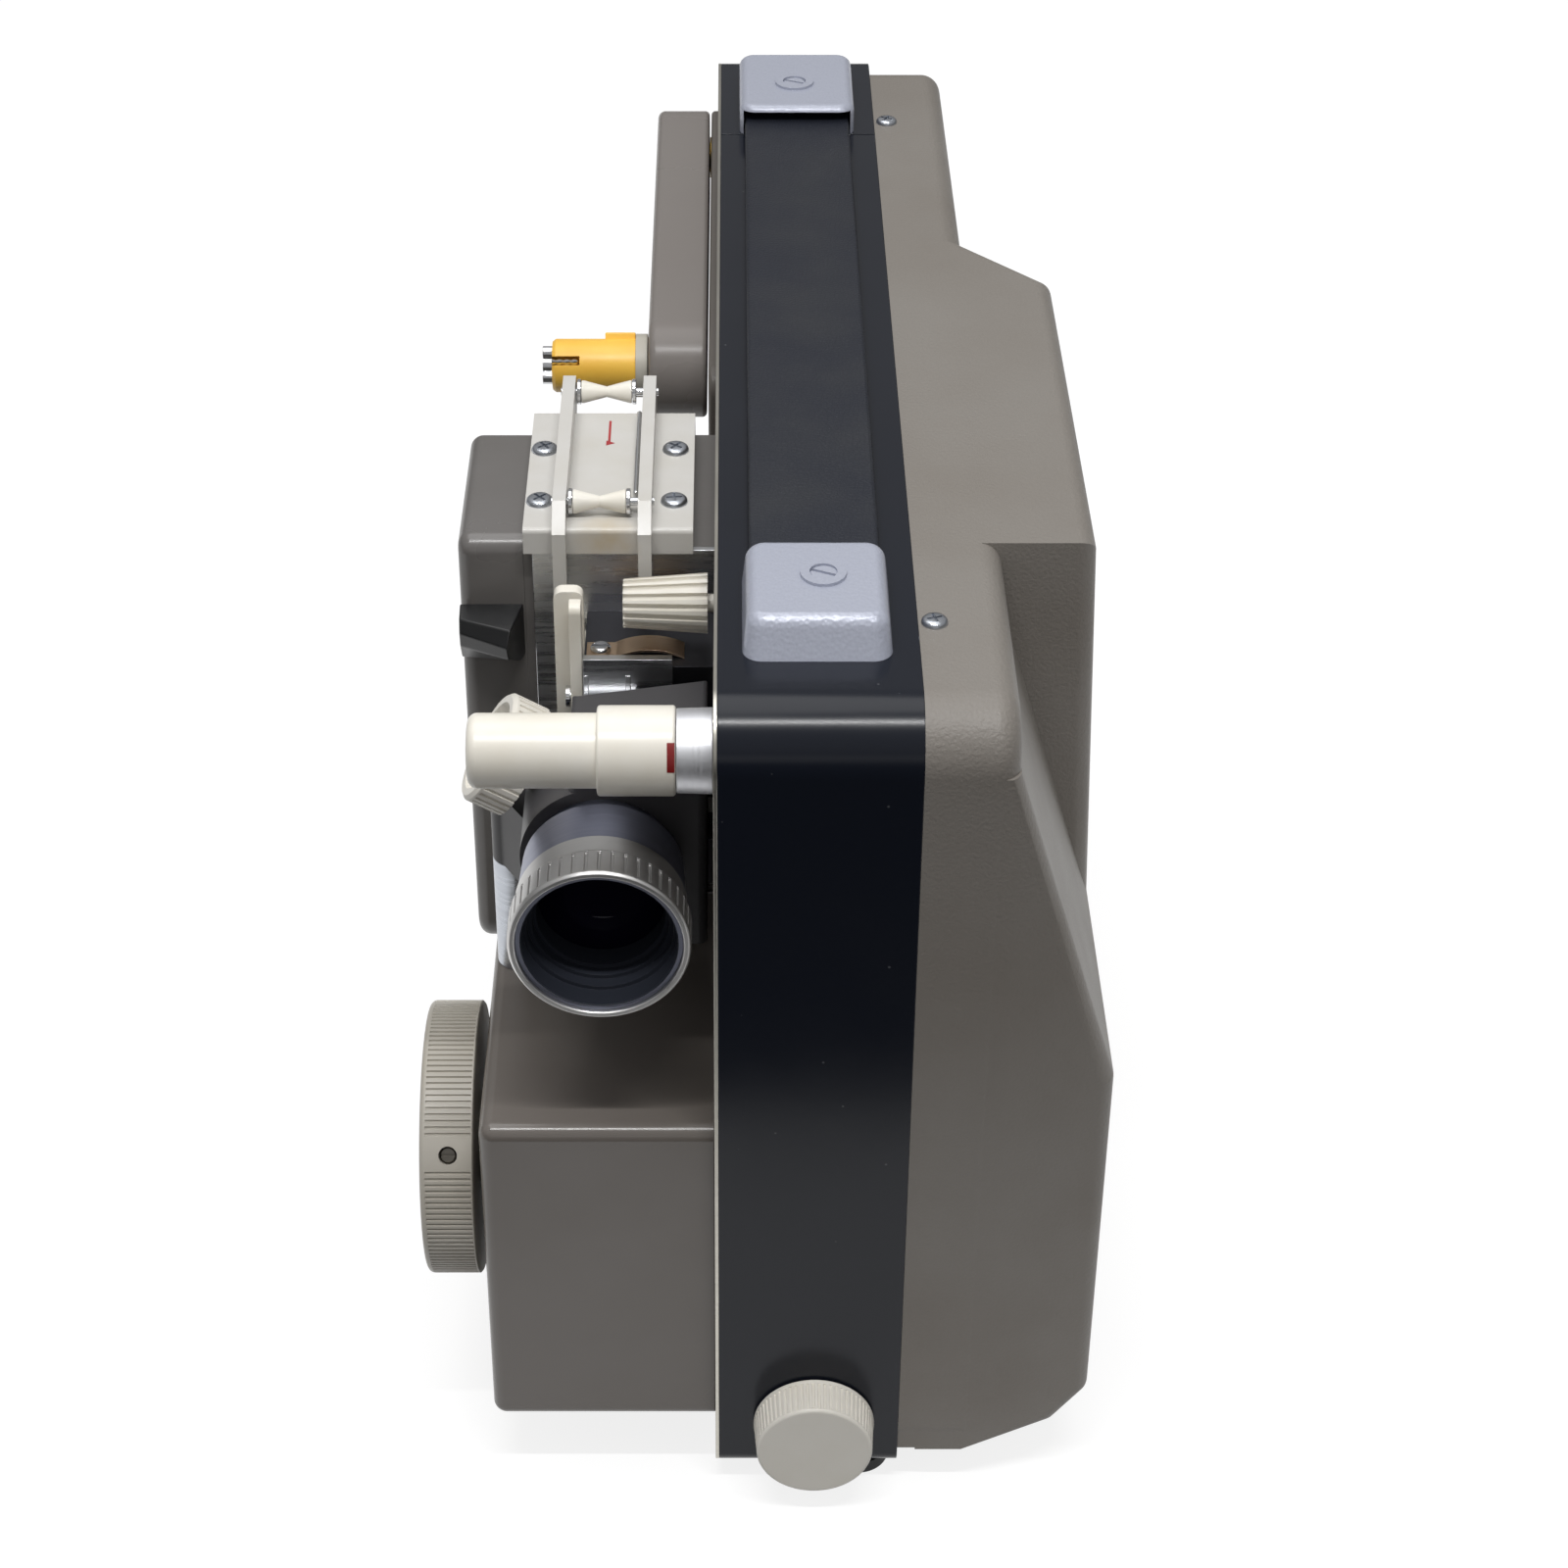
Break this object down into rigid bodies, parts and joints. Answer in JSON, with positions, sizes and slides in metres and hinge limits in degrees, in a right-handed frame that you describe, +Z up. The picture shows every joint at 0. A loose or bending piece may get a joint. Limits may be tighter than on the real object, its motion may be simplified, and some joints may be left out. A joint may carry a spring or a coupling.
{
  "type": "movie projector",
  "caption": "Portable 8 mm film projector with folding reel arm, swing-out zoom lens, lamp house with pull-off cover, carrying strap and tilting foot.",
  "frame": {"origin": "middle of the footprint of the whole object, on the surface that the rubber feet stand on", "axes": "+Z up; +Y from the lens to the rear, so the beam leaves along -Y; +X from the film side to the motor side"},
  "size_m": [0.148, 0.3434, 0.2167],
  "materials": {
    "main_plate": "cast, satin",
    "front_band": "satin black paint",
    "rear_band": "satin black paint",
    "right_cover": "fine texture",
    "cover_screws": "bright",
    "handle_strap": "leather grain",
    "front_handle_cap": "hammered",
    "rear_handle_cap": "hammered",
    "handle_screws": "bright",
    "reel_arm": "satin",
    "arm_post": "turned",
    "supply_shaft": "turned",
    "supply_hub": "moulded",
    "takeup_shaft": "turned",
    "takeup_hub": "moulded",
    "guide_plate": "moulded",
    "guide_screws": "bright",
    "front_roller": "moulded",
    "rear_roller": "moulded",
    "guide_pins": "bright",
    "lamp_frame": "grey paint",
    "heat_shield": "polished",
    "lamp_cover": "satin grey paint",
    "latch_tab": "moulded",
    "lamp_socket": "ceramic",
    "lamp_bulb": "clear",
    "gate_block": "black",
    "aperture_plate": "polished",
    "film_claw": "ground",
    "channel_plate": "moulded",
    "gate_lever": "moulded",
    "leaf_spring": "bronze strip",
    "gate_screws": "dark",
    "lens_carrier": "satin grey paint",
    "carrier_hinge": "turned",
    "pressure_plate": "ground",
    "lens_barrel": "anodised",
    "zoom_ring": "anodised, ribbed",
    "lens_glass": "coated",
    "focus_knob": "moulded",
    "lower_housing": "moulded",
    "function_dial": "moulded, knurled",
    "dial_screw": "dark",
    "control_collar": "satin",
    "control_knob": "moulded",
    "framing_knob": "moulded",
    "shutter_blade": "black",
    "drive_shaft": "ground",
    "drive_pulley": "turned",
    "drive_belt": "moulded",
    "shaft_bearings": "cast",
    "motor_can": "plated",
    "motor_shaft": "ground",
    "motor_pulley": "turned",
    "cooling_fan": "moulded",
    "transformer": "laminated steel",
    "power_inlet": "moulded",
    "rubber_feet": "moulded",
    "tilt_knob": "moulded, ribbed",
    "tilt_foot": "rubber tipped"
  },
  "bodies": {
    "chassis": {"main_plate": "main_plate", "front_band": "front_band", "rear_band": "rear_band", "right_cover": "right_cover", "cover_screws": "cover_screws", "handle_strap": "handle_strap", "front_handle_cap": "front_handle_cap", "rear_handle_cap": "rear_handle_cap", "handle_screws": "handle_screws", "arm_post": "arm_post", "guide_plate": "guide_plate", "guide_screws": "guide_screws", "guide_pins": "guide_pins", "lamp_frame": "lamp_frame", "heat_shield": "heat_shield", "lamp_socket": "lamp_socket", "lamp_bulb": "lamp_bulb", "gate_block": "gate_block", "aperture_plate": "aperture_plate", "channel_plate": "channel_plate", "leaf_spring": "leaf_spring", "gate_screws": "gate_screws", "carrier_hinge": "carrier_hinge", "lower_housing": "lower_housing", "control_collar": "control_collar", "drive_belt": "drive_belt", "shaft_bearings": "shaft_bearings", "motor_can": "motor_can", "transformer": "transformer", "power_inlet": "power_inlet", "rubber_feet": "rubber_feet"},
    "arm": {"reel_arm": "reel_arm"},
    "supply_spindle": {"supply_shaft": "supply_shaft", "supply_hub": "supply_hub"},
    "takeup_spindle": {"takeup_shaft": "takeup_shaft", "takeup_hub": "takeup_hub"},
    "front_roller": {"front_roller": "front_roller"},
    "rear_roller": {"rear_roller": "rear_roller"},
    "lamp_cover": {"lamp_cover": "lamp_cover"},
    "latch": {"latch_tab": "latch_tab"},
    "claw": {"film_claw": "film_claw"},
    "gate_lever": {"gate_lever": "gate_lever"},
    "carrier": {"lens_carrier": "lens_carrier", "pressure_plate": "pressure_plate"},
    "lens": {"lens_barrel": "lens_barrel", "lens_glass": "lens_glass"},
    "zoom_ring": {"zoom_ring": "zoom_ring"},
    "focus_knob": {"focus_knob": "focus_knob"},
    "dial": {"function_dial": "function_dial", "dial_screw": "dial_screw"},
    "control_knob": {"control_knob": "control_knob"},
    "framing_knob": {"framing_knob": "framing_knob"},
    "shutter": {"shutter_blade": "shutter_blade", "drive_shaft": "drive_shaft", "drive_pulley": "drive_pulley"},
    "rotor": {"motor_shaft": "motor_shaft", "motor_pulley": "motor_pulley", "cooling_fan": "cooling_fan"},
    "tilt_knob": {"tilt_knob": "tilt_knob"},
    "tilt_foot": {"tilt_foot": "tilt_foot"}
  },
  "joints": [
    {"name": "arm_swing", "type": "hinge", "parent": "chassis", "child": "arm", "pos_m": [-0.01875, 0.15325, 0.184], "axis": [-1, 0, 0], "range_deg": [0, 130]},
    {"name": "supply_spin", "type": "hinge", "parent": "arm", "child": "supply_spindle", "pos_m": [-0.02975, 0.03075, 0.184], "axis": [-1, 0, 0], "continuous": true},
    {"name": "takeup_spin", "type": "hinge", "parent": "chassis", "child": "takeup_spindle", "pos_m": [-0.01975, 0.08975, 0.08], "axis": [-1, 0, 0], "continuous": true},
    {"name": "front_roller_spin", "type": "hinge", "parent": "chassis", "child": "front_roller", "pos_m": [-0.04145, -0.06725, 0.2024], "axis": [1, 0, 0], "continuous": true},
    {"name": "rear_roller_spin", "type": "hinge", "parent": "chassis", "child": "rear_roller", "pos_m": [-0.04145, -0.01725, 0.2024], "axis": [1, 0, 0], "continuous": true},
    {"name": "lamp_cover_pull", "type": "slide", "parent": "chassis", "child": "lamp_cover", "axis": [-1, 0, 0], "range_m": [0, 0.045]},
    {"name": "latch_press", "type": "slide", "parent": "lamp_cover", "child": "latch", "axis": [0, 0, -1], "range_m": [0, 0.004], "stiffness_N_per_m": 200, "springref_m": -0.002},
    {"name": "claw_stroke", "type": "slide", "parent": "chassis", "child": "claw", "axis": [0, 0, -1], "range_m": [0, 0.0042]},
    {"name": "gate_lever_tip", "type": "hinge", "parent": "chassis", "child": "gate_lever", "pos_m": [-0.03875, -0.09225, 0.1685], "axis": [1, 0, 0], "range_deg": [0, 20], "stiffness_Nm_per_rad": 0.005, "springref_deg": -14.32},
    {"name": "carrier_swing", "type": "hinge", "parent": "chassis", "child": "carrier", "pos_m": [-0.05375, -0.09975, 0.1445], "axis": [0, 0, -1], "range_deg": [0, 75]},
    {"name": "focus_turn", "type": "hinge", "parent": "carrier", "child": "focus_knob", "pos_m": [-0.03275, -0.11155, 0.1545], "axis": [-0.866, 0, 0.5], "range_deg": [-22.92, 114.6]},
    {"name": "lens_focus", "type": "slide", "parent": "carrier", "child": "lens", "axis": [0, -1, 0], "range_m": [-0.001, 0.005]},
    {"name": "zoom_turn", "type": "hinge", "parent": "lens", "child": "zoom_ring", "pos_m": [-0.03275, -0.15825, 0.1545], "axis": [0, -1, 0], "range_deg": [-40, 40]},
    {"name": "dial_turn", "type": "hinge", "parent": "chassis", "child": "dial", "pos_m": [-0.05975, -0.12185, 0.0691], "axis": [-1, 0, 0], "range_deg": [-90, 90]},
    {"name": "control_turn", "type": "hinge", "parent": "chassis", "child": "control_knob", "pos_m": [-0.02975, -0.14825, 0.1926], "axis": [-1, 0, 0], "range_deg": [-60, 60]},
    {"name": "framing_turn", "type": "hinge", "parent": "chassis", "child": "framing_knob", "pos_m": [-0.01975, -0.08725, 0.189], "axis": [-1, 0, 0], "range_deg": [-45, 45]},
    {"name": "shutter_spin", "type": "hinge", "parent": "chassis", "child": "shutter", "pos_m": [0.00425, -0.06725, 0.148], "axis": [0, 1, 0], "continuous": true},
    {"name": "motor_spin", "type": "hinge", "parent": "chassis", "child": "rotor", "pos_m": [0.02125, -0.08825, 0.0485], "axis": [0, 1, 0], "continuous": true},
    {"name": "tilt_turn", "type": "hinge", "parent": "chassis", "child": "tilt_knob", "pos_m": [0.01225, -0.16225, 0.02], "axis": [0, -1, 0], "range_deg": [0, 114.59]},
    {"name": "foot_lower", "type": "slide", "parent": "chassis", "child": "tilt_foot", "axis": [0, 0, -1], "range_m": [0, 0.01202]}
  ],
  "couplings": [
    {"joint": "focus_turn", "follows": "lens_focus", "rad_per_m": 400},
    {"joint": "motor_spin", "follows": "shutter_spin", "ratio": 2},
    {"joint": "foot_lower", "follows": "tilt_turn", "m_per_rad": 0.006}
  ]
}
